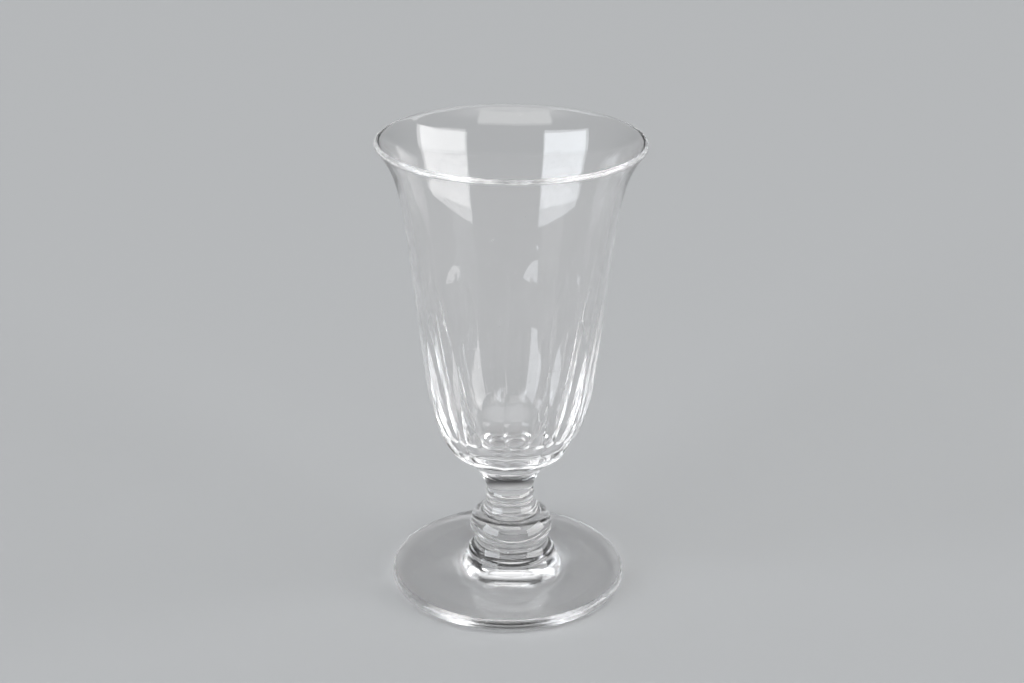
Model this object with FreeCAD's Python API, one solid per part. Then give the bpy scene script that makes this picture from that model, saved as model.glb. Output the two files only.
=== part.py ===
import FreeCAD
import Part
import math
import os

# A footed, panel-cut drinking glass, blown and tooled in seven gathers of clear glass.
# Millimetres, +Z up. The origin is the centre of the ring that the foot stands on.
# The gathers are stacked, and each pair meets on a flat round joint of one shared radius.

# Foot: a round disc with a full-round edge, hollowed a little underneath.
foot_r = 42.4
foot_edge = 4.3            # thickness at the rounded edge
foot_rise = 0.5            # how much higher the flat middle is than the edge
stand_inner_r = 33.0       # inner radius of the flat ring that the glass stands on
hollow_depth = 1.2         # hollow under the foot, at the pontil mark
pontil_r = 9.0             # ground and polished pontil mark
pontil_depth = 0.9

# Foot pad: the low flare that spreads the stem on the foot.
pad_r = 23.4
pad_height = 4.6
pad_joint_r = 15.2
pad_angle = 60.0           # slope of its side under the collar, degrees below level
pad_pull = 3.2             # pull of that side on the flare's curve
pad_rim_angle = 2.5        # slope at its rim, where it runs out on the foot
pad_rim_pull = 4.2

# Base collar: a rolled bead on the pad, drawn in above to a groove under the knop.
collar_r = 15.8
collar_height = 6.2
collar_belly = 0.6         # height of its widest line above the joint below
collar_round = 2.4         # radius of the bead's shoulder
collar_turn = 58.0         # how far that shoulder turns over, degrees
collar_hollow = 0.3        # how far the side above it curves in from a straight cone
collar_joint_r = 13.0

# Knop: a bell-shaped bulb, with its widest line low down and a shoulder drawn up to a throat.
# Its lower edge is rolled tightly under, over a groove that parts it from the collar.
knop_r = 14.9
knop_height = 16.7
knop_belly = 4.4           # height of its widest line above the joint below
knop_edge_r = 2.1          # radius of the edge's round
knop_edge_turn = 76.0      # how far that round turns under, degrees
groove_hollow = 0.3        # how far the groove curves in from a straight side
knop_shoulder_r = 7.9      # radius of the shoulder's round; the throat's follows from it
knop_joint_r = 8.5

# Neck ring: a thin rolled ring between the knop and the neck.
ring_bulge = 0.45
ring_height = 3.3
ring_joint_r = 8.2

# Neck: a solid trumpet that carries the bowl.
neck_height = 9.8
neck_hollow = 0.5          # how far its side curves in from a straight cone
bowl_joint_r = 13.0

# Bowl: rounded base, steep side and flared mouth.
bowl_height = 119.6
rim_r = 45.65
lip = 2.0                  # thickness of the fire-polished lip
lip_angle = 52.0           # slope of the wall at the lip, degrees above level
base_angle = 41.5          # slope of the base beside the joint
base_round = 10.1
side_r = 30.6              # outer radius where base and mouth curves meet
side_height = 38.9         # its height above the joint
side_angle = 84.6
side_down = 32.4           # pull of the side on the base curve
side_up = 61.3             # pull of the side on the mouth curve
mouth_round = 12.8

# Bowl inside: an egg-shaped hollow, whose wall thickens steadily from the side to the base.
floor_thickness = 6.6      # solid glass between the joint and the inner floor
inside_height = 66.6       # where the inner base and mouth curves meet, above the joint
side_wall = 2.8            # wall thickness there
inside_angle = 82.8
inside_down = 52.0         # pull of that place on the inner base curve
inside_up = 36.0           # its pull on the inner mouth curve
floor_round = 16.5

# Panels: flat facets cut round the lower bowl, each ending in an arch.
panels = 12
panel_top = 65.5           # height of the arches above the joint
panel_foot = 6.1           # height of the panels' lower edges above the joint
panel_depth = 1.15
arch_runout = 29.5         # length over which the wheel leaves the glass at the top
foot_runout = 3.0          # the same at the bottom
cut_stations = 16          # steps along the panel in which its centre line is measured

# Levels of the flat joints, from the table up.
foot_top = foot_edge + foot_rise
pad_top = foot_top + pad_height
collar_top = pad_top + collar_height
knop_top = collar_top + knop_height
ring_top = knop_top + ring_height
neck_top = ring_top + neck_height
rim_top = neck_top + bowl_height


def at(r, z):
    """A point of an outline, in the XZ plane."""
    return FreeCAD.Vector(r, 0, z)


def along(start, angle, length):
    """The point that lies a length from start, at an angle above level."""
    slope = math.radians(angle)
    return start + at(length * math.cos(slope), length * math.sin(slope))


def line(start, end):
    return Part.LineSegment(start, end).toShape()


def arc(start, middle, end):
    return Part.Arc(start, middle, end).toShape()


def bezier(start, pull_out, pull_in, end):
    curve = Part.BezierCurve()
    curve.setPoles([start, pull_out, pull_in, end])
    return curve.toShape()


def bowed(start, end, bulge):
    """The arc from a lower to an upper point that bows out from its chord, or in if below zero."""
    chord = end - start
    outwards = at(chord.z, -chord.x).normalize()
    return arc(start, (start + end) / 2 + outwards * bulge, end)


def roll(belly, end):
    """The arc that leaves a widest line straight up or down and closes in to its end."""
    radius = (end - belly).Length ** 2 / (2 * (belly.x - end.x))
    turn = math.atan2(end.z - belly.z, end.x - belly.x + radius)
    middle = belly + at(radius * (math.cos(turn / 2) - 1), radius * math.sin(turn / 2))
    return arc(belly, middle, end)


def turned(edges):
    """The solid of revolution of an open outline whose two ends lie on the axis."""
    outline = Part.Wire(Part.__sortEdges__(edges))
    ends = [outline.OrderedVertexes[0].Point, outline.OrderedVertexes[-1].Point]
    face = Part.Face(Part.Wire(outline.Edges + [line(ends[1], ends[0])]))
    return face.revolve(FreeCAD.Vector(0, 0, 0), FreeCAD.Vector(0, 0, 1), 360)


def joint(radius, z):
    """Half of the flat disc on which two gathers meet."""
    return line(at(0, z), at(radius, z))


def foot():
    nose_r = foot_r - foot_edge / 2
    dish_r = (pontil_r ** 2 + pontil_depth ** 2) / (2 * pontil_depth)
    dish_top = at(0, hollow_depth + pontil_depth)
    half_way = math.asin(pontil_r / dish_r) / 2
    dish_middle = dish_top + at(dish_r * math.sin(half_way), dish_r * (math.cos(half_way) - 1))
    return turned([
        arc(dish_top, dish_middle, at(pontil_r, hollow_depth)),
        line(at(pontil_r, hollow_depth), at(stand_inner_r, 0)),
        line(at(stand_inner_r, 0), at(nose_r, 0)),
        arc(at(nose_r, 0), at(foot_r, foot_edge / 2), at(nose_r, foot_edge)),
        line(at(nose_r, foot_edge), at(pad_r, foot_top)),
        joint(pad_r, foot_top),
    ])


def foot_pad():
    rim = at(pad_r, foot_top)
    upper_end = at(pad_joint_r, pad_top)
    return turned([
        joint(pad_r, foot_top),
        bezier(rim, along(rim, 180 - pad_rim_angle, pad_rim_pull),
               along(upper_end, -pad_angle, pad_pull), upper_end),
        joint(pad_joint_r, pad_top),
    ])


def base_collar():
    belly = at(collar_r, pad_top + collar_belly)
    shoulder_end = along(belly - at(collar_round, 0), collar_turn, collar_round)
    return turned([
        joint(pad_joint_r, pad_top),
        roll(belly, at(pad_joint_r, pad_top)),
        roll(belly, shoulder_end),
        bowed(shoulder_end, at(collar_joint_r, collar_top), -collar_hollow),
        joint(collar_joint_r, collar_top),
    ])


def knop():
    belly = at(knop_r, collar_top + knop_belly)
    edge_end = along(belly - at(knop_edge_r, 0), -knop_edge_turn, knop_edge_r)
    throat = at(knop_joint_r, knop_top)
    # The shoulder's and the throat's rounds touch, and both end straight up.
    both_rounds = (throat - belly).Length ** 2 / (2 * (belly.x - throat.x))
    turn = math.asin((throat.z - belly.z) / both_rounds)
    shoulder_end = belly + at(knop_shoulder_r * (math.cos(turn) - 1), knop_shoulder_r * math.sin(turn))
    throat_r = both_rounds - knop_shoulder_r
    throat_middle = throat + at(throat_r * (1 - math.cos(turn / 2)), -throat_r * math.sin(turn / 2))
    return turned([
        joint(collar_joint_r, collar_top),
        bowed(at(collar_joint_r, collar_top), edge_end, -groove_hollow),
        roll(belly, edge_end),
        roll(belly, shoulder_end),
        arc(shoulder_end, throat_middle, throat),
        joint(knop_joint_r, knop_top),
    ])


def neck_ring():
    return turned([
        joint(knop_joint_r, knop_top),
        bowed(at(knop_joint_r, knop_top), at(ring_joint_r, ring_top), ring_bulge),
        joint(ring_joint_r, ring_top),
    ])


def neck():
    return turned([
        joint(ring_joint_r, ring_top),
        bowed(at(ring_joint_r, ring_top), at(bowl_joint_r, neck_top), -neck_hollow),
        joint(bowl_joint_r, neck_top),
    ])


# Bowl outline: a base curve and a mouth curve, which meet on the side and end on the lip's round.
side = at(side_r, neck_top + side_height)
lip_centre = at(rim_r - lip / 2, rim_top - lip / 2)
lip_outer = along(lip_centre, lip_angle - 90, lip / 2)
lip_inner = along(lip_centre, lip_angle + 90, lip / 2)
joint_rim = at(bowl_joint_r, neck_top)
base_curve = bezier(joint_rim, along(joint_rim, base_angle, base_round),
                    along(side, side_angle, -side_down), side)
mouth_curve = bezier(side, along(side, side_angle, side_up),
                     along(lip_outer, lip_angle, -mouth_round), lip_outer)


def wall_radius(z):
    """Outer radius of the bowl, before the panels are cut, at height z."""
    curve = base_curve if z <= side.z else mouth_curve
    level = line(at(0, z), at(2 * rim_r, z))
    return level.distToShape(curve)[1][0][0].x


def blown_bowl():
    """The bowl as it leaves the furnace, with its wall and lip but no panels."""
    inside_z = neck_top + inside_height
    inner_side = at(wall_radius(inside_z) - side_wall, inside_z)
    floor = at(0, neck_top + floor_thickness)
    lip_top = along(lip_centre, lip_angle, lip / 2)
    return turned([
        joint(bowl_joint_r, neck_top),
        base_curve,
        mouth_curve,
        arc(lip_outer, lip_top, lip_inner),
        bezier(lip_inner, along(lip_inner, lip_angle, -mouth_round),
               along(inner_side, inside_angle, inside_up), inner_side),
        bezier(inner_side, along(inner_side, inside_angle, -inside_down),
               floor + at(floor_round, 0), floor),
    ])


def cut_depth(z):
    """Depth of a panel's centre line, which rises out of the glass at both ends."""
    from_top = min(1, (neck_top + panel_top - z) / arch_runout)
    from_foot = min(1, (z - neck_top - panel_foot) / foot_runout)
    return panel_depth * from_top * (2 - from_top) * from_foot * (2 - from_foot)


def panel_cutter():
    """The glass that one pass of the wheel takes off, as a flat-sided block outside the panel."""
    low = neck_top + panel_foot
    high = neck_top + panel_top
    points = []
    for station in range(cut_stations + 1):
        z = low + (high - low) * (1 - math.cos(math.pi * station / cut_stations)) / 2
        points.append(at(wall_radius(z) - cut_depth(z), z))
    cut_line = Part.BSplineCurve()
    cut_line.interpolate(points)
    outside = rim_r + lip
    face = Part.Face(Part.Wire([
        cut_line.toShape(),
        line(points[-1], at(outside, high)),
        line(at(outside, high), at(outside, low)),
        line(at(outside, low), points[0]),
    ]))
    half_width = outside * math.tan(math.pi / panels)
    face.translate(FreeCAD.Vector(0, -half_width, 0))
    return face.extrude(FreeCAD.Vector(0, 2 * half_width, 0))


def bowl():
    glass = blown_bowl()
    cutter = panel_cutter()
    for panel in range(panels):
        turn = -90 + (panel + 0.5) * 360 / panels
        block = cutter.copy()
        block.rotate(FreeCAD.Vector(0, 0, 0), FreeCAD.Vector(0, 0, 1), turn)
        glass = glass.cut(block)
    return glass.Solids[0]


pieces = {
    "foot": foot,
    "foot_pad": foot_pad,
    "base_collar": base_collar,
    "knop": knop,
    "neck_ring": neck_ring,
    "neck": neck,
    "bowl": bowl,
}

os.makedirs("parts", exist_ok=True)
for name, make in pieces.items():
    solid = make()
    solid.exportStep(f"parts/{name}.step")
    print(name, "volume", round(solid.Volume), "mm3, valid", solid.isValid())
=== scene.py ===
import math

import bpy
import numpy as np
from mathutils import Matrix, Vector


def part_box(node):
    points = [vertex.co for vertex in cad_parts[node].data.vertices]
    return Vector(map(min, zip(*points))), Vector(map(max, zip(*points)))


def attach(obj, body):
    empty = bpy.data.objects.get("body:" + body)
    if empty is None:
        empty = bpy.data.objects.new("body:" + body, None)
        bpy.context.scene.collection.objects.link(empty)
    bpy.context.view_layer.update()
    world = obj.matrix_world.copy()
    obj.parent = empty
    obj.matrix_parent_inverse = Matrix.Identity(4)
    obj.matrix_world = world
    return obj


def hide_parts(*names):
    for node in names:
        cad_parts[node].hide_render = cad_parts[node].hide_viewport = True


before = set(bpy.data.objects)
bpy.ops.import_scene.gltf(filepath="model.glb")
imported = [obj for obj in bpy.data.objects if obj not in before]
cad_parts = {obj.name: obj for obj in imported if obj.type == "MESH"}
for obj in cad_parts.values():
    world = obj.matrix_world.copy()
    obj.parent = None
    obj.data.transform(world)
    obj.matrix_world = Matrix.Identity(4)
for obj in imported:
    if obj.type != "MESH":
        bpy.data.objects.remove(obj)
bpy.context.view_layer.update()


# ---- Foot ----
# A disc of clear lead glass, spun flat and fire-polished, with a full-round edge.
# Its underside is hollowed so that only an outer ring touches the table, and the scar of the
# pontil rod in the middle is ground to a shallow polished dish.

def arc(start, middle, end, steps):
    """Points on the circle through three (radius, height) points, start and end included."""
    (ax, ay), (bx, by), (cx, cy) = start, middle, end
    d = 2 * (ax * (by - cy) + bx * (cy - ay) + cx * (ay - by))
    a2, b2, c2 = ax * ax + ay * ay, bx * bx + by * by, cx * cx + cy * cy
    ox = (a2 * (by - cy) + b2 * (cy - ay) + c2 * (ay - by)) / d
    oy = (a2 * (cx - bx) + b2 * (ax - cx) + c2 * (bx - ax)) / d
    radius = math.hypot(ax - ox, ay - oy)
    first = math.atan2(ay - oy, ax - ox)
    half = (math.atan2(by - oy, bx - ox) - first + math.pi) % (2 * math.pi) - math.pi
    rest = (math.atan2(cy - oy, cx - ox) - first - half + math.pi) % (2 * math.pi) - math.pi
    sweep = half + rest
    turns = first + sweep * np.linspace(0, 1, steps + 1)
    return [(ox + radius * math.cos(t), oy + radius * math.sin(t)) for t in turns]


def strip(name, outline, creases, joints, copies):
    """One narrow slice of a turned piece, from its axis out and back, for the tree to repeat.
    creases are the outline's corners, and joints are the runs that lie on a fused joint."""
    step = 2 * math.pi / copies
    points, faces = [], []
    for r, z in outline:
        for side in (-0.5, 0.5):
            points.append((r * math.cos(step * side), r * math.sin(step * side), z))
    for k in range(len(outline) - 1):
        faces.append((2 * k, 2 * k + 1, 2 * k + 3, 2 * k + 2))
    mesh = bpy.data.meshes.new(name)
    mesh.from_pydata(points, [], faces)
    on_joint = mesh.attributes.new("on_joint", "BOOLEAN", "FACE")
    on_joint.data.foreach_set("value", [k in joints for k in range(len(faces))])
    sharp = mesh.attributes.new("sharp_edge", "BOOLEAN", "EDGE")
    corner = {(2 * k, 2 * k + 1) for k in creases}
    sharp.data.foreach_set("value", [tuple(sorted(e.vertices)) in corner for e in mesh.edges])
    mesh.shade_smooth()
    piece = bpy.data.objects.new(name, mesh)
    bpy.context.scene.collection.objects.link(piece)
    return piece


def clear_glass(name, ripple, ripple_size, rings, scratches, rub_from=0.0045, rub_to=0.0):
    """Colourless lead glass. ripple and rings are the heights in metres of the soft waves and of
    the tool's turning lines, and scratches is how dull wear has rubbed it, from none at the
    height rub_from to all of it at rub_to."""
    glass = bpy.data.materials.new(name)
    glass.use_nodes = True
    tree = glass.node_tree
    shader = tree.nodes["Principled BSDF"]
    shader.inputs["Base Color"].default_value = (0.99, 0.985, 0.984, 1)
    shader.inputs["Transmission Weight"].default_value = 1.0
    shader.inputs["IOR"].default_value = 1.54
    place = tree.nodes.new("ShaderNodeTexCoord").outputs["Object"]

    waves = tree.nodes.new("ShaderNodeTexNoise")
    waves.inputs["Scale"].default_value = 1 / ripple_size
    waves.inputs["Detail"].default_value = 1.5
    tree.links.new(place, waves.inputs["Vector"])
    wave_bump = tree.nodes.new("ShaderNodeBump")
    wave_bump.inputs["Distance"].default_value = ripple
    tree.links.new(waves.outputs["Fac"], wave_bump.inputs["Height"])

    split = tree.nodes.new("ShaderNodeSeparateXYZ")
    tree.links.new(place, split.inputs["Vector"])
    flat = tree.nodes.new("ShaderNodeCombineXYZ")
    tree.links.new(split.outputs["X"], flat.inputs["X"])
    tree.links.new(split.outputs["Y"], flat.inputs["Y"])
    radius = tree.nodes.new("ShaderNodeVectorMath")
    radius.operation = "LENGTH"
    tree.links.new(flat.outputs["Vector"], radius.inputs[0])
    turned = tree.nodes.new("ShaderNodeCombineXYZ")
    tree.links.new(radius.outputs["Value"], turned.inputs["X"])
    tree.links.new(split.outputs["Z"], turned.inputs["Z"])
    lines = tree.nodes.new("ShaderNodeTexNoise")
    lines.inputs["Scale"].default_value = 700
    lines.inputs["Detail"].default_value = 2
    tree.links.new(turned.outputs["Vector"], lines.inputs["Vector"])
    line_bump = tree.nodes.new("ShaderNodeBump")
    line_bump.inputs["Distance"].default_value = rings
    tree.links.new(lines.outputs["Fac"], line_bump.inputs["Height"])
    tree.links.new(wave_bump.outputs["Normal"], line_bump.inputs["Normal"])
    tree.links.new(line_bump.outputs["Normal"], shader.inputs["Normal"])

    # Hair scratches gather where the glass is rubbed, and dust-fine pits lie all over.
    hair = tree.nodes.new("ShaderNodeTexNoise")
    hair.inputs["Scale"].default_value = 900
    hair.inputs["Detail"].default_value = 4
    hair.inputs["Distortion"].default_value = 3
    tree.links.new(place, hair.inputs["Vector"])
    worn = tree.nodes.new("ShaderNodeMapRange")
    worn.inputs["From Min"].default_value = rub_from
    worn.inputs["From Max"].default_value = rub_to
    tree.links.new(split.outputs["Z"], worn.inputs["Value"])
    rubbed = tree.nodes.new("ShaderNodeMath")
    rubbed.operation = "MULTIPLY"
    tree.links.new(hair.outputs["Fac"], rubbed.inputs[0])
    tree.links.new(worn.outputs["Result"], rubbed.inputs[1])
    dull = tree.nodes.new("ShaderNodeMath")
    dull.operation = "MULTIPLY_ADD"
    dull.inputs[1].default_value = scratches
    dull.inputs[2].default_value = 0.004
    tree.links.new(rubbed.outputs["Value"], dull.inputs[0])
    pits = tree.nodes.new("ShaderNodeTexVoronoi")
    pits.inputs["Scale"].default_value = 160
    tree.links.new(place, pits.inputs["Vector"])
    pit = tree.nodes.new("ShaderNodeMapRange")
    pit.inputs["From Min"].default_value = 0.045
    pit.inputs["From Max"].default_value = 0.02
    pit.inputs["To Max"].default_value = 0.5
    tree.links.new(pits.outputs["Distance"], pit.inputs["Value"])
    worst = tree.nodes.new("ShaderNodeMath")
    worst.operation = "MAXIMUM"
    tree.links.new(dull.outputs["Value"], worst.inputs[0])
    tree.links.new(pit.outputs["Result"], worst.inputs[1])
    tree.links.new(worst.outputs["Value"], shader.inputs["Roughness"])
    return glass


# Where two gathers were joined hot there is no surface left, so light passes straight on.
fused = bpy.data.materials.new("fused joint")
fused.use_nodes = True
fused.node_tree.nodes.clear()
through = fused.node_tree.nodes.new("ShaderNodeBsdfTransparent")
joint_out = fused.node_tree.nodes.new("ShaderNodeOutputMaterial")
fused.node_tree.links.new(through.outputs["BSDF"], joint_out.inputs["Surface"])


def turning_tree():
    """Repeats a slice of glass round the axis, welds it, and sets it a little out of true: its
    round wanders, and the stem stands off the middle of the foot and leans back to the bowl."""
    tree = bpy.data.node_groups.new("Turned round the axis", "GeometryNodeTree")
    face = tree.interface
    face.new_socket("Slice", in_out="INPUT", socket_type="NodeSocketGeometry")
    for label, kind, value in (("Copies", "NodeSocketInt", 288),
                               ("Weld Distance", "NodeSocketFloat", 2e-7),
                               ("Out of True", "NodeSocketFloat", 0.003),
                               ("Wave Size", "NodeSocketFloat", 0.045),
                               ("Seed", "NodeSocketFloat", 4.0),
                               ("Off Centre", "NodeSocketFloat", 0.0013),
                               ("Foot Top", "NodeSocketFloat", 0.0048),
                               ("Bowl Floor", "NodeSocketFloat", 0.058),
                               ("Pad Radius", "NodeSocketFloat", 0.0236),
                               ("Foot Radius", "NodeSocketFloat", 0.041),
                               ("Glass", "NodeSocketMaterial", None),
                               ("Joint", "NodeSocketMaterial", None)):
        socket = face.new_socket(label, in_out="INPUT", socket_type=kind)
        if value is not None:
            socket.default_value = value
    face.new_socket("Piece", in_out="OUTPUT", socket_type="NodeSocketGeometry")
    nodes, link = tree.nodes, tree.links.new
    start, end = nodes.new("NodeGroupInput"), nodes.new("NodeGroupOutput")

    places = nodes.new("GeometryNodePoints")
    link(start.outputs["Copies"], places.inputs["Count"])
    number = nodes.new("GeometryNodeInputIndex")
    share = nodes.new("ShaderNodeMath")
    share.operation = "DIVIDE"
    link(number.outputs["Index"], share.inputs[0])
    link(start.outputs["Copies"], share.inputs[1])
    turn = nodes.new("ShaderNodeMath")
    turn.operation = "MULTIPLY"
    turn.inputs[1].default_value = 2 * math.pi
    link(share.outputs["Value"], turn.inputs[0])
    about_z = nodes.new("ShaderNodeCombineXYZ")
    link(turn.outputs["Value"], about_z.inputs["Z"])
    spread = nodes.new("GeometryNodeInstanceOnPoints")
    link(places.outputs["Points"], spread.inputs["Points"])
    link(start.outputs["Slice"], spread.inputs["Instance"])
    link(about_z.outputs["Vector"], spread.inputs["Rotation"])
    real = nodes.new("GeometryNodeRealizeInstances")
    link(spread.outputs["Instances"], real.inputs["Geometry"])
    weld = nodes.new("GeometryNodeMergeByDistance")
    link(real.outputs["Geometry"], weld.inputs["Geometry"])
    link(start.outputs["Weld Distance"], weld.inputs["Distance"])

    where = nodes.new("GeometryNodeInputPosition")
    size = nodes.new("ShaderNodeMath")
    size.operation = "DIVIDE"
    size.inputs[0].default_value = 1.0
    link(start.outputs["Wave Size"], size.inputs[1])
    noise = nodes.new("ShaderNodeTexNoise")
    noise.noise_dimensions = "4D"
    noise.inputs["Detail"].default_value = 0.0
    link(where.outputs["Position"], noise.inputs["Vector"])
    link(start.outputs["Seed"], noise.inputs["W"])
    link(size.outputs["Value"], noise.inputs["Scale"])
    lean = nodes.new("ShaderNodeMath")
    lean.operation = "SUBTRACT"
    lean.inputs[1].default_value = 0.5
    link(noise.outputs["Fac"], lean.inputs[0])
    amount = nodes.new("ShaderNodeMath")
    amount.operation = "MULTIPLY"
    link(lean.outputs["Value"], amount.inputs[0])
    link(start.outputs["Out of True"], amount.inputs[1])
    sideways = nodes.new("ShaderNodeVectorMath")
    sideways.operation = "MULTIPLY"
    sideways.inputs[1].default_value = (1, 1, 0)
    link(where.outputs["Position"], sideways.inputs[0])
    push = nodes.new("ShaderNodeVectorMath")
    push.operation = "SCALE"
    link(sideways.outputs["Vector"], push.inputs[0])
    link(amount.outputs["Value"], push.inputs["Scale"])

    parts = nodes.new("ShaderNodeSeparateXYZ")
    link(where.outputs["Position"], parts.inputs["Vector"])
    reach = nodes.new("ShaderNodeVectorMath")
    reach.operation = "LENGTH"
    link(sideways.outputs["Vector"], reach.inputs[0])
    up = nodes.new("ShaderNodeMapRange")
    out = nodes.new("ShaderNodeMapRange")
    for fade, value, first, last in ((up, parts.outputs["Z"], "Foot Top", "Bowl Floor"),
                                     (out, reach.outputs["Value"], "Pad Radius", "Foot Radius")):
        fade.interpolation_type = "SMOOTHSTEP"
        fade.inputs["To Min"].default_value = 1.0
        fade.inputs["To Max"].default_value = 0.0
        link(value, fade.inputs["Value"])
        link(start.outputs[first], fade.inputs["From Min"])
        link(start.outputs[last], fade.inputs["From Max"])
    both = nodes.new("ShaderNodeMath")
    both.operation = "MULTIPLY"
    link(up.outputs["Result"], both.inputs[0])
    link(out.outputs["Result"], both.inputs[1])
    shift = nodes.new("ShaderNodeMath")
    shift.operation = "MULTIPLY"
    link(both.outputs["Value"], shift.inputs[0])
    link(start.outputs["Off Centre"], shift.inputs[1])
    to_side = nodes.new("ShaderNodeCombineXYZ")
    link(shift.outputs["Value"], to_side.inputs["X"])
    in_all = nodes.new("ShaderNodeVectorMath")
    in_all.operation = "ADD"
    link(push.outputs["Vector"], in_all.inputs[0])
    link(to_side.outputs["Vector"], in_all.inputs[1])
    move = nodes.new("GeometryNodeSetPosition")
    link(weld.outputs["Geometry"], move.inputs["Geometry"])
    link(in_all.outputs["Vector"], move.inputs["Offset"])

    glass = nodes.new("GeometryNodeSetMaterial")
    link(move.outputs["Geometry"], glass.inputs["Geometry"])
    link(start.outputs["Glass"], glass.inputs["Material"])
    on_joint = nodes.new("GeometryNodeInputNamedAttribute")
    on_joint.data_type = "BOOLEAN"
    on_joint.inputs["Name"].default_value = "on_joint"
    joint = nodes.new("GeometryNodeSetMaterial")
    link(glass.outputs["Geometry"], joint.inputs["Geometry"])
    link(on_joint.outputs["Attribute"], joint.inputs["Selection"])
    link(start.outputs["Joint"], joint.inputs["Material"])
    link(joint.outputs["Geometry"], end.inputs["Piece"])
    return tree


turning = turning_tree()


def turn_piece(slice_of_glass, node, glass, copies):
    """Runs the tree on one slice and keeps the result as the plain mesh that stands for a node."""
    slice_of_glass.data.materials.append(glass)
    modifier = slice_of_glass.modifiers.new("Turning", "NODES")
    modifier.node_group = turning
    given = {"Copies": copies, "Glass": glass, "Joint": fused}
    for item in turning.interface.items_tree:
        if item.item_type == "SOCKET" and item.in_out == "INPUT" and item.name in given:
            modifier[item.identifier] = given[item.name]
    slice_of_glass.update_tag()
    shaped = slice_of_glass.evaluated_get(bpy.context.evaluated_depsgraph_get())
    mesh = bpy.data.meshes.new_from_object(shaped)
    slice_of_glass.modifiers.remove(modifier)
    slice_of_glass.data = mesh
    mesh.attributes.remove(mesh.attributes["on_joint"])
    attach(slice_of_glass, "root")
    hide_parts(node)


foot_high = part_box("foot")[1]
pad_low, pad_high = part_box("foot_pad")
foot_r = foot_high.x
foot_top = foot_high.z
foot_edge = 0.0043                 # thickness at the full-round edge
nose_r = foot_r - foot_edge / 2
standing_inner = 0.033             # inner radius of the ring that touches the table
hollow = 0.0012
pontil = 0.009
pontil_deep = 0.0009
pad_r = pad_high.x
slices = 288                       # round each turned piece
dish_r = (pontil ** 2 + pontil_deep ** 2) / (2 * pontil_deep)
half_way = math.asin(pontil / dish_r) / 2
foot_line = arc((0, hollow + pontil_deep),
                (dish_r * math.sin(half_way), hollow + pontil_deep + dish_r * (math.cos(half_way) - 1)),
                (pontil, hollow), 8)
foot_creases = [len(foot_line) - 1]
foot_line += [(pontil + (standing_inner - pontil) * t, hollow * (1 - t))
              for t in np.linspace(0, 1, 13)[1:]]
foot_creases.append(len(foot_line) - 1)
foot_line += [(standing_inner + (nose_r - standing_inner) * t, 0.0)
              for t in np.linspace(0, 1, 6)[1:]]
foot_line += arc((nose_r, 0), (foot_r, foot_edge / 2), (nose_r, foot_edge), 24)[1:]
foot_line += [(nose_r + (pad_r - nose_r) * t, foot_edge + (foot_top - foot_edge) * t)
              for t in np.linspace(0, 1, 13)[1:]]
foot_creases.append(len(foot_line) - 1)
foot_joint = [len(foot_line) - 1, len(foot_line)]
foot_line += [(pad_r / 2, foot_top), (0, foot_top)]
foot_glass = clear_glass("foot glass", ripple=0.00003, ripple_size=0.02, rings=0.000002, scratches=0.25)
turn_piece(strip("glass_foot", foot_line, foot_creases, foot_joint, slices), "foot", foot_glass, slices)


# ---- Foot pad ----
# The low flare of glass with which the stem is stuck on the foot: it sweeps out hollow from under
# the collar until it lies flat on the foot, and tooling left faint rings on it.

def along(start, slope, length):
    """The point that lies a length from the start, on a line at that slope."""
    return (start[0] + length * math.cos(slope), start[1] + length * math.sin(slope))


def bezier(a, b, c, d, steps):
    """Points on the curve from a to d that leaves a towards b and comes to d from c."""
    t = np.linspace(0, 1, steps + 1)[:, None]
    a, b, c, d = (np.array(p) for p in (a, b, c, d))
    return (1 - t) ** 3 * a + 3 * (1 - t) ** 2 * t * b + 3 * (1 - t) * t ** 2 * c + t ** 3 * d


def joint_line(radius, z, steps):
    """The flat joint from the axis out to its rim."""
    return [(radius * t, z) for t in np.linspace(0, 1, steps + 1)]


def between_joints(sides, joint_steps):
    """A whole outline from its bottom joint up its sides to its top joint, with its creases and
    the runs that lie on the joints."""
    line = joint_line(sides[0][0], sides[0][1], joint_steps)
    top = joint_line(sides[-1][0], sides[-1][1], joint_steps)[::-1]
    whole = line + sides[1:] + top[1:]
    last = len(whole) - 1
    joints = set(range(joint_steps)) | set(range(last - joint_steps, last))
    return whole, [joint_steps, last - joint_steps], joints


pad_joint_r = 0.0152
pad_rim = (pad_r, pad_low.z)
pad_rim_slope = math.radians(180 - 2.5)
pad_rim_pull = 0.0042
pad_neck = (pad_joint_r, pad_high.z)
pad_neck_slope = math.radians(-60)
pad_neck_pull = 0.0032
pad_side = [tuple(point) for point in bezier(
    pad_rim, along(pad_rim, pad_rim_slope, pad_rim_pull),
    along(pad_neck, pad_neck_slope, pad_neck_pull), pad_neck, 40)]
pad_line, pad_creases, pad_joints = between_joints(pad_side, 3)
pad_glass = clear_glass("foot pad glass", ripple=0.00003, ripple_size=0.012, rings=0.000004, scratches=0.05)
turn_piece(strip("glass_foot_pad", pad_line, pad_creases, pad_joints, slices), "foot_pad",
           pad_glass, slices)


# ---- Base collar ----
# A bead of glass rolled round on the pad, widest low down, whose side is drawn in above it to a
# groove under the knop.

def bowed(start, end, bulge, steps):
    """An arc between two points that stands off from its chord by bulge, outwards if above zero."""
    dr, dz = end[0] - start[0], end[1] - start[1]
    length = math.hypot(dr, dz)
    middle = ((start[0] + end[0]) / 2 + bulge * dz / length,
              (start[1] + end[1]) / 2 - bulge * dr / length)
    return arc(start, middle, end, steps)


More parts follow.
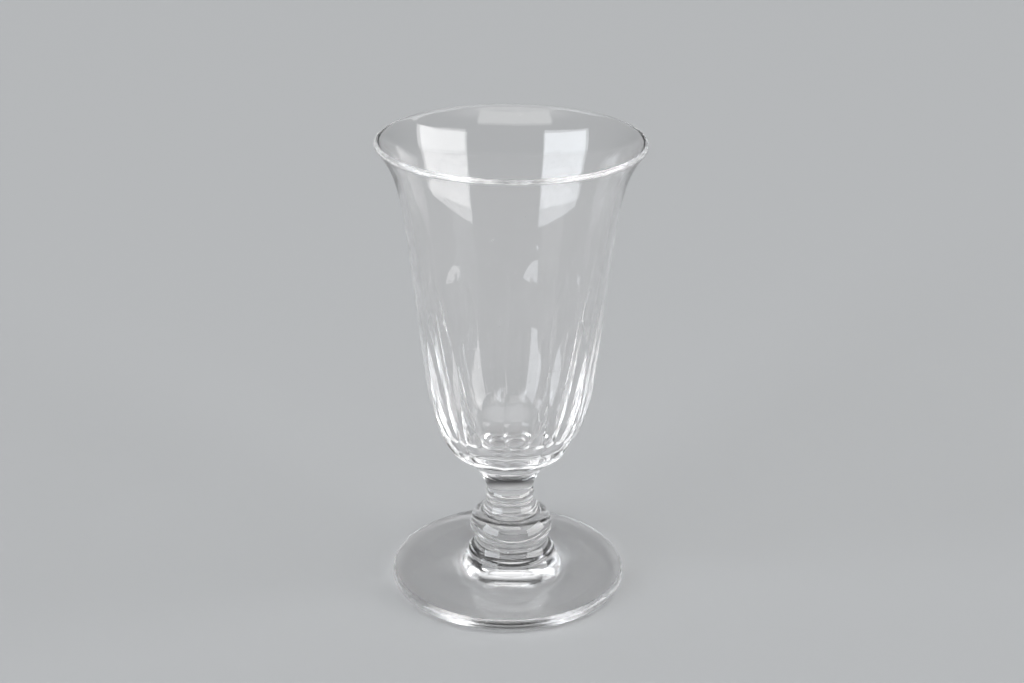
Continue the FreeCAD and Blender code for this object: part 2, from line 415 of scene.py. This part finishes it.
def roll(belly, end, steps):
    """The arc that leaves a widest line straight up or down and closes in to its end."""
    dr, dz = belly[0] - end[0], end[1] - belly[1]
    radius = (dr * dr + dz * dz) / (2 * dr)
    turn = math.atan2(dz, radius - dr)
    return [(belly[0] + radius * (math.cos(turn * t) - 1), belly[1] + radius * math.sin(turn * t))
            for t in np.linspace(0, 1, steps + 1)]


collar_low, collar_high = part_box("base_collar")
collar_joint_r = 0.0130
collar_belly = (collar_high.x, collar_low.z + 0.0006)
bead_r = 0.0024
bead_turn = math.radians(58)
groove_hollow = 0.0003             # how far the sides of the groove under the knop curve in
bead_top = (collar_belly[0] - bead_r * (1 - math.cos(bead_turn)),
            collar_belly[1] + bead_r * math.sin(bead_turn))
collar_side = roll(collar_belly, (pad_joint_r, collar_low.z), 8)[::-1]
collar_side += roll(collar_belly, bead_top, 16)[1:]
collar_side += bowed(bead_top, (collar_joint_r, collar_high.z), -groove_hollow, 16)[1:]
collar_line, collar_creases, collar_joints = between_joints(collar_side, 3)
collar_glass = clear_glass("collar glass", ripple=0.00003, ripple_size=0.012, rings=0.000004, scratches=0.0)
turn_piece(strip("glass_base_collar", collar_line, collar_creases, collar_joints, slices),
           "base_collar", collar_glass, slices)


# ---- Knop ----
# The bell-shaped bulb of the stem, tooled to a widest line low down, with a round shoulder and
# a throat that runs up to the neck ring.

knop_low, knop_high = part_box("knop")
knop_joint_r = 0.0085
knop_belly = (knop_high.x, knop_low.z + 0.0044)
shoulder_r = 0.0079
edge_r = 0.0021
edge_turn = math.radians(76)
edge_low = (knop_belly[0] - edge_r * (1 - math.cos(edge_turn)),
            knop_belly[1] - edge_r * math.sin(edge_turn))
throat = (knop_joint_r, knop_high.z)
rise, draw_in = throat[1] - knop_belly[1], knop_belly[0] - throat[0]
both_rounds = (rise ** 2 + draw_in ** 2) / (2 * draw_in)
turn_in = math.asin(rise / both_rounds)
throat_r = both_rounds - shoulder_r
knop_side = bowed((collar_joint_r, knop_low.z), edge_low, -groove_hollow, 12)
knop_side += roll(knop_belly, edge_low, 18)[-2::-1]
knop_side += [(knop_belly[0] + shoulder_r * (math.cos(t) - 1), knop_belly[1] + shoulder_r * math.sin(t))
              for t in np.linspace(0, turn_in, 23)[1:]]
knop_side += [(throat[0] + throat_r * (1 - math.cos(t)), throat[1] - throat_r * math.sin(t))
              for t in np.linspace(turn_in, 0, 23)[1:]]
knop_line, knop_creases, knop_joints = between_joints(knop_side, 3)
knop_glass = clear_glass("knop glass", ripple=0.00004, ripple_size=0.012, rings=0.000004, scratches=0.0)
turn_piece(strip("glass_knop", knop_line, knop_creases, knop_joints, slices), "knop",
           knop_glass, slices)


# ---- Neck ring ----
# A thin trail of glass wound once round the narrowest place of the stem and rolled smooth.

ring_low, ring_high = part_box("neck_ring")
ring_joint_r = 0.0082
ring_bulge = 0.00045
ring_side = bowed((knop_joint_r, ring_low.z), (ring_joint_r, ring_high.z), ring_bulge, 14)
ring_line, ring_creases, ring_joints = between_joints(ring_side, 2)
ring_glass = clear_glass("neck ring glass", ripple=0.00002, ripple_size=0.01, rings=0.000003, scratches=0.0)
turn_piece(strip("glass_neck_ring", ring_line, ring_creases, ring_joints, slices), "neck_ring",
           ring_glass, slices)


# ---- Neck ----
# A solid trumpet of glass, drawn out hot from the stem, that spreads to carry the bowl.

neck_low, neck_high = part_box("neck")
bowl_joint_r = 0.013
neck_hollow = 0.0005
neck_side = bowed((ring_joint_r, neck_low.z), (bowl_joint_r, neck_high.z), -neck_hollow, 20)
neck_line, neck_creases, neck_joints = between_joints(neck_side, 3)
neck_glass = clear_glass("neck glass", ripple=0.00003, ripple_size=0.012, rings=0.000003, scratches=0.0)
turn_piece(strip("glass_neck", neck_line, neck_creases, neck_joints, slices), "neck",
           neck_glass, slices)


# ---- Bowl ----
# Blown clear glass with a thick solid base, a tall side and a flared, fire-polished lip. Twelve
# flat panels are cut round its lower half on a wheel: each ends in an arch where the wheel leaves
# the glass, and neighbours meet in a ridge. One panel's width is made and the tree repeats it.

bowl_low, bowl_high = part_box("bowl")
rim_r = bowl_high.x
rim_top = bowl_high.z
neck_top = bowl_low.z
panels = 12
panel_top = neck_top + 0.0655
panel_foot = neck_top + 0.0061
panel_depth = 0.00115
arch_runout = 0.0295               # height over which the wheel leaves the glass at the arch
foot_runout = 0.003                # the same at the panels' lower ends
ridge_round = 0.0006
lip = 0.002
lip_slope = math.radians(52)
lip_pull = 0.0128                  # pull of the lip's slope on the curves of both walls
base_slope = math.radians(41.5)
base_pull = 0.0101
side_slope = math.radians(84.6)
side_down = 0.0324
side_up = 0.0613
side_r = 0.0306
side_z = neck_top + 0.0389
inside_z = neck_top + 0.0666
inside_wall = 0.0028
inside_slope = math.radians(82.8)
inside_up = 0.036
inside_down = 0.052
floor_z = neck_top + 0.0066
floor_round = 0.0165
curve_steps = 400
lip_middle = (rim_r - lip / 2, rim_top - lip / 2)
lip_outer = along(lip_middle, lip_slope - math.pi / 2, lip / 2)
lip_inner = along(lip_middle, lip_slope + math.pi / 2, lip / 2)
joint_rim = (bowl_joint_r, neck_top)
side_out = (side_r, side_z)
outer_wall = np.vstack([
    bezier(joint_rim, along(joint_rim, base_slope, base_pull),
           along(side_out, side_slope, -side_down), side_out, curve_steps),
    bezier(side_out, along(side_out, side_slope, side_up),
           along(lip_outer, lip_slope, -lip_pull), lip_outer, curve_steps)[1:]])


def outer_radius(z):
    """Radius of the wall outside, before the panels are cut."""
    return np.interp(z, outer_wall[:, 1], outer_wall[:, 0])


side_in = (outer_radius(inside_z) - inside_wall, inside_z)
inner_wall = np.vstack([
    bezier(lip_inner, along(lip_inner, lip_slope, -lip_pull),
           along(side_in, inside_slope, inside_up), side_in, curve_steps),
    bezier(side_in, along(side_in, inside_slope, -inside_down),
           (floor_round, floor_z), (0, floor_z), curve_steps)[1:]])


def cut_depth(z):
    """Depth of a panel along its middle: it rises out of the glass at the arch and at the foot."""
    top = np.clip((panel_top - z) / arch_runout, 0, 1)
    low = np.clip((z - panel_foot) / foot_runout, 0, 1)
    return panel_depth * top * (2 - top) * low * (2 - low)


half_panel = math.pi / panels
from_ridge = np.radians([0, 0.1, 0.2, 0.32, 0.7, 1.5, 2.6, 4.0, 5.6, 7.4, 9.3, 11.2, 13.1])
angles = np.concatenate([from_ridge - half_panel, [0.0], (half_panel - from_ridge)[::-1]])


def cut_radius(z, angle):
    """Distance from the axis to the panel's flat at an angle from its middle, ridge rounded."""
    flat = outer_radius(z) - cut_depth(z)
    middle = (flat - ridge_round) / math.cos(half_panel)
    away = half_panel - abs(angle)
    touch = ridge_round * math.sin(half_panel) / (middle + ridge_round * math.cos(half_panel))
    plain = flat / math.cos(angle)
    across = middle * math.sin(away)
    rounded = middle * math.cos(away) + np.sqrt(np.maximum(ridge_round ** 2 - across ** 2, 0))
    return np.where(away < np.arctan(touch), rounded, plain)


def where_cut_ends(angle, low, high):
    """Height between low and high at which the panel's flat meets the uncut wall."""
    sign = cut_radius(low, angle) < outer_radius(low)
    for halving in range(50):
        middle = (low + high) / 2
        if (cut_radius(middle, angle) < outer_radius(middle)) == sign:
            low = middle
        else:
            high = middle
    return (low + high) / 2


def rows_up(count):
    """Heights as shares from 0 to 1, a little closer together at both ends."""
    t = np.linspace(0, 1, count + 1)
    return 0.55 * t + 0.45 * (1 - np.cos(math.pi * t)) / 2


base_rows = 10
panel_rows = 84
mouth_rows = 46
lip_rows = 16
joint_rows = 3
lip_turn = lip_slope - math.pi / 2 + np.linspace(0, math.pi, lip_rows + 1)[1:]
inner_line = inner_wall[np.unique(np.concatenate([
    np.linspace(0, curve_steps, 45).astype(int)[1:],
    np.linspace(curve_steps, 2 * curve_steps, 49).astype(int)]))]
columns = []
middle_z = neck_top + 0.02         # a height at which every panel is cut deep
for angle in angles:
    cut_low = where_cut_ends(angle, panel_foot, middle_z)
    cut_high = where_cut_ends(angle, middle_z, panel_top)
    heights = np.concatenate([
        neck_top + (cut_low - neck_top) * np.linspace(0, 1, base_rows + 1),
        cut_low + (cut_high - cut_low) * rows_up(panel_rows)[1:],
        cut_high + (lip_outer[1] - cut_high) * np.linspace(0, 1, mouth_rows + 1)[1:]])
    radii = outer_radius(heights)
    cut = slice(base_rows, base_rows + panel_rows + 1)
    radii[cut] = np.minimum(radii[cut], cut_radius(heights[cut], angle))
    joint_radii = bowl_joint_r * np.linspace(0, 1, joint_rows + 1)[:-1]
    r = np.concatenate([joint_radii, radii,
                        lip_middle[0] + lip / 2 * np.cos(lip_turn), inner_line[:, 0]])
    z = np.concatenate([np.full(joint_rows, neck_top), heights,
                        lip_middle[1] + lip / 2 * np.sin(lip_turn), inner_line[:, 1]])
    columns.append(np.stack([r * math.cos(angle), r * math.sin(angle), z], axis=1))
columns = np.array(columns)
# A ridge faces straight along -Y, so the panel's middle stands half a panel away from it.
start_turn = -math.pi / 2 + half_panel
turned_x = columns[:, :, 0] * math.cos(start_turn) - columns[:, :, 1] * math.sin(start_turn)
turned_y = columns[:, :, 0] * math.sin(start_turn) + columns[:, :, 1] * math.cos(start_turn)
columns = np.stack([turned_x, turned_y, columns[:, :, 2]], axis=2)
wide, tall = columns.shape[:2]
grid = np.arange(wide * tall).reshape(wide, tall)
quads = np.stack([grid[:-1, :-1], grid[1:, :-1], grid[1:, 1:], grid[:-1, 1:]], axis=-1).reshape(-1, 4)
panel_mesh = bpy.data.meshes.new("glass_bowl")
panel_mesh.from_pydata(columns.reshape(-1, 3).tolist(), [], quads.tolist())
row_of_face = np.tile(np.arange(tall - 1), wide - 1)
on_joint = panel_mesh.attributes.new("on_joint", "BOOLEAN", "FACE")
on_joint.data.foreach_set("value", (row_of_face < joint_rows).tolist())
crease_rows = {joint_rows, joint_rows + base_rows, joint_rows + base_rows + panel_rows}
sharp = panel_mesh.attributes.new("sharp_edge", "BOOLEAN", "EDGE")
sharp.data.foreach_set("value", [
    e.vertices[0] % tall == e.vertices[1] % tall and e.vertices[0] % tall in crease_rows
    for e in panel_mesh.edges])
panel_mesh.shade_smooth()
panel = bpy.data.objects.new("glass_bowl", panel_mesh)
bpy.context.scene.collection.objects.link(panel)
bowl_glass = clear_glass("bowl glass", ripple=0.00005, ripple_size=0.03, rings=0.0000015, scratches=0.3,
                         rub_from=rim_top - 0.0025, rub_to=rim_top - 0.0012)
turn_piece(panel, "bowl", bowl_glass, panels)


# ---- Table and room ----
# A plain pale round table in a plain studio. Two tall soft windows, a lit panel in front and a
# glow overhead are part of the room itself, and light the table evenly. The glass mirrors them.

table_r = 1.25
table_z = -0.0003                  # a hair below the foot's ring, so that the two faces don't flicker
table_rim = [(table_r * math.cos(turn), table_r * math.sin(turn), table_z)
             for turn in np.linspace(0, 2 * math.pi, 145)[:-1]]
table_mesh = bpy.data.meshes.new("table")
table_mesh.from_pydata(table_rim, [], [list(range(len(table_rim)))])
table = bpy.data.objects.new("table", table_mesh)
bpy.context.scene.collection.objects.link(table)
table_paint = bpy.data.materials.new("pale table")
table_paint.use_nodes = True
paint = table_paint.node_tree.nodes["Principled BSDF"]
paint.inputs["Base Color"].default_value = (0.49, 0.495, 0.50, 1)
paint.inputs["Roughness"].default_value = 0.8
paint.inputs["Specular IOR Level"].default_value = 0.1
table_mesh.materials.append(table_paint)

room = bpy.data.worlds.new("room")
bpy.context.scene.world = room
room.use_nodes = True
room_nodes = room.node_tree.nodes
room_link = room.node_tree.links.new
direction = room_nodes.new("ShaderNodeTexCoord")
height = room_nodes.new("ShaderNodeSeparateXYZ")
room_link(direction.outputs["Generated"], height.inputs["Vector"])
# Pale as the table at the skyline, dark above it, and glowing overhead.
skyline = (0.46, 0.465, 0.47, 1)
dark_wall = (0.025, 0.025, 0.026, 1)
overhead = (1.34, 1.36, 1.38, 1)
wall = room_nodes.new("ShaderNodeValToRGB")
for place in (0.20, 0.70):
    wall.color_ramp.elements.new(place).color = dark_wall
wall.color_ramp.elements[0].color = skyline
wall.color_ramp.elements[3].position = 0.90
wall.color_ramp.elements[3].color = overhead
room_link(height.outputs["Z"], wall.inputs["Fac"])
forward = room_nodes.new("ShaderNodeMath")
forward.operation = "MULTIPLY"
forward.inputs[1].default_value = -1.0
room_link(height.outputs["Y"], forward.inputs[0])
azimuth = room_nodes.new("ShaderNodeMath")
azimuth.operation = "ARCTAN2"
room_link(height.outputs["X"], azimuth.inputs[0])
room_link(forward.outputs["Value"], azimuth.inputs[1])


def soft_light(behind, middle, half_width, low, high, colour):
    """Adds a light to the room. Its middle and half its width are turns in degrees from -Y towards
    +X, low and high are in degrees above the level, and a colour of 1 shines as a white card."""
    across = room_nodes.new("ShaderNodeMath")
    across.operation = "COMPARE"
    across.inputs[1].default_value = math.radians(middle)
    across.inputs[2].default_value = math.radians(half_width)
    room_link(azimuth.outputs["Value"], across.inputs[0])
    bottom, top = math.sin(math.radians(low)), math.sin(math.radians(high))
    upward = room_nodes.new("ShaderNodeMath")
    upward.operation = "COMPARE"
    upward.inputs[1].default_value = (bottom + top) / 2
    upward.inputs[2].default_value = (top - bottom) / 2
    room_link(height.outputs["Z"], upward.inputs[0])
    inside = room_nodes.new("ShaderNodeMath")
    inside.operation = "MULTIPLY"
    room_link(across.outputs["Value"], inside.inputs[0])
    room_link(upward.outputs["Value"], inside.inputs[1])
    shown = room_nodes.new("ShaderNodeMix")
    shown.data_type = "RGBA"
    shown.inputs["B"].default_value = colour
    room_link(inside.outputs["Value"], shown.inputs["Factor"])
    room_link(behind, shown.inputs["A"])
    return shown.outputs["Result"]


lit = soft_light(wall.outputs["Color"], middle=-55.5, half_width=24.5, low=-9, high=32,
                 colour=(4.5, 4.7, 4.9, 1))
lit = soft_light(lit, middle=80, half_width=28, low=-9, high=32, colour=(4.7, 4.7, 4.7, 1))
lit = soft_light(lit, middle=0, half_width=42, low=41, high=56, colour=(1.8, 1.8, 1.76, 1))
# The camera sees the plain wall where the lights are, and they show in the glass alone.
looking = room_nodes.new("ShaderNodeLightPath")
seen = room_nodes.new("ShaderNodeMix")
seen.data_type = "RGBA"
room_link(looking.outputs["Is Camera Ray"], seen.inputs["Factor"])
room_link(lit, seen.inputs["A"])
room_link(wall.outputs["Color"], seen.inputs["B"])
room_link(seen.outputs["Result"], room_nodes["Background"].inputs["Color"])


# ---- Camera ----
# It stands a little to the right of the nearest ridge and looks down at the whole glass.

eye = bpy.data.cameras.new("camera")
eye.sensor_width = 36
eye.lens = 60.16
camera = bpy.data.objects.new("camera", eye)
looks_down = 22.93                 # degrees below level
round_to_right = 3.5
off_level = 0.537
stand = Vector((0.00079, -0.5499, 0.3246))
heading = Matrix.Rotation(math.radians(round_to_right), 3, "Z")
tilt = Matrix.Rotation(math.radians(90 - looks_down), 3, "X")
level = Matrix.Rotation(math.radians(off_level), 3, "Z")
camera.location = heading @ stand
camera.rotation_euler = (heading @ tilt @ level).to_euler()
bpy.context.scene.collection.objects.link(camera)
bpy.context.scene.camera = camera

# Light goes to and fro many times in thick glass, and unblurred it also lights the table under it.
cycles = bpy.context.scene.cycles
cycles.blur_glossy = 0.0
bounces = 64
cycles.max_bounces = bounces
cycles.transmission_bounces = bounces
cycles.glossy_bounces = bounces
cycles.transparent_max_bounces = bounces
bpy.context.scene.view_settings.view_transform = "Standard"
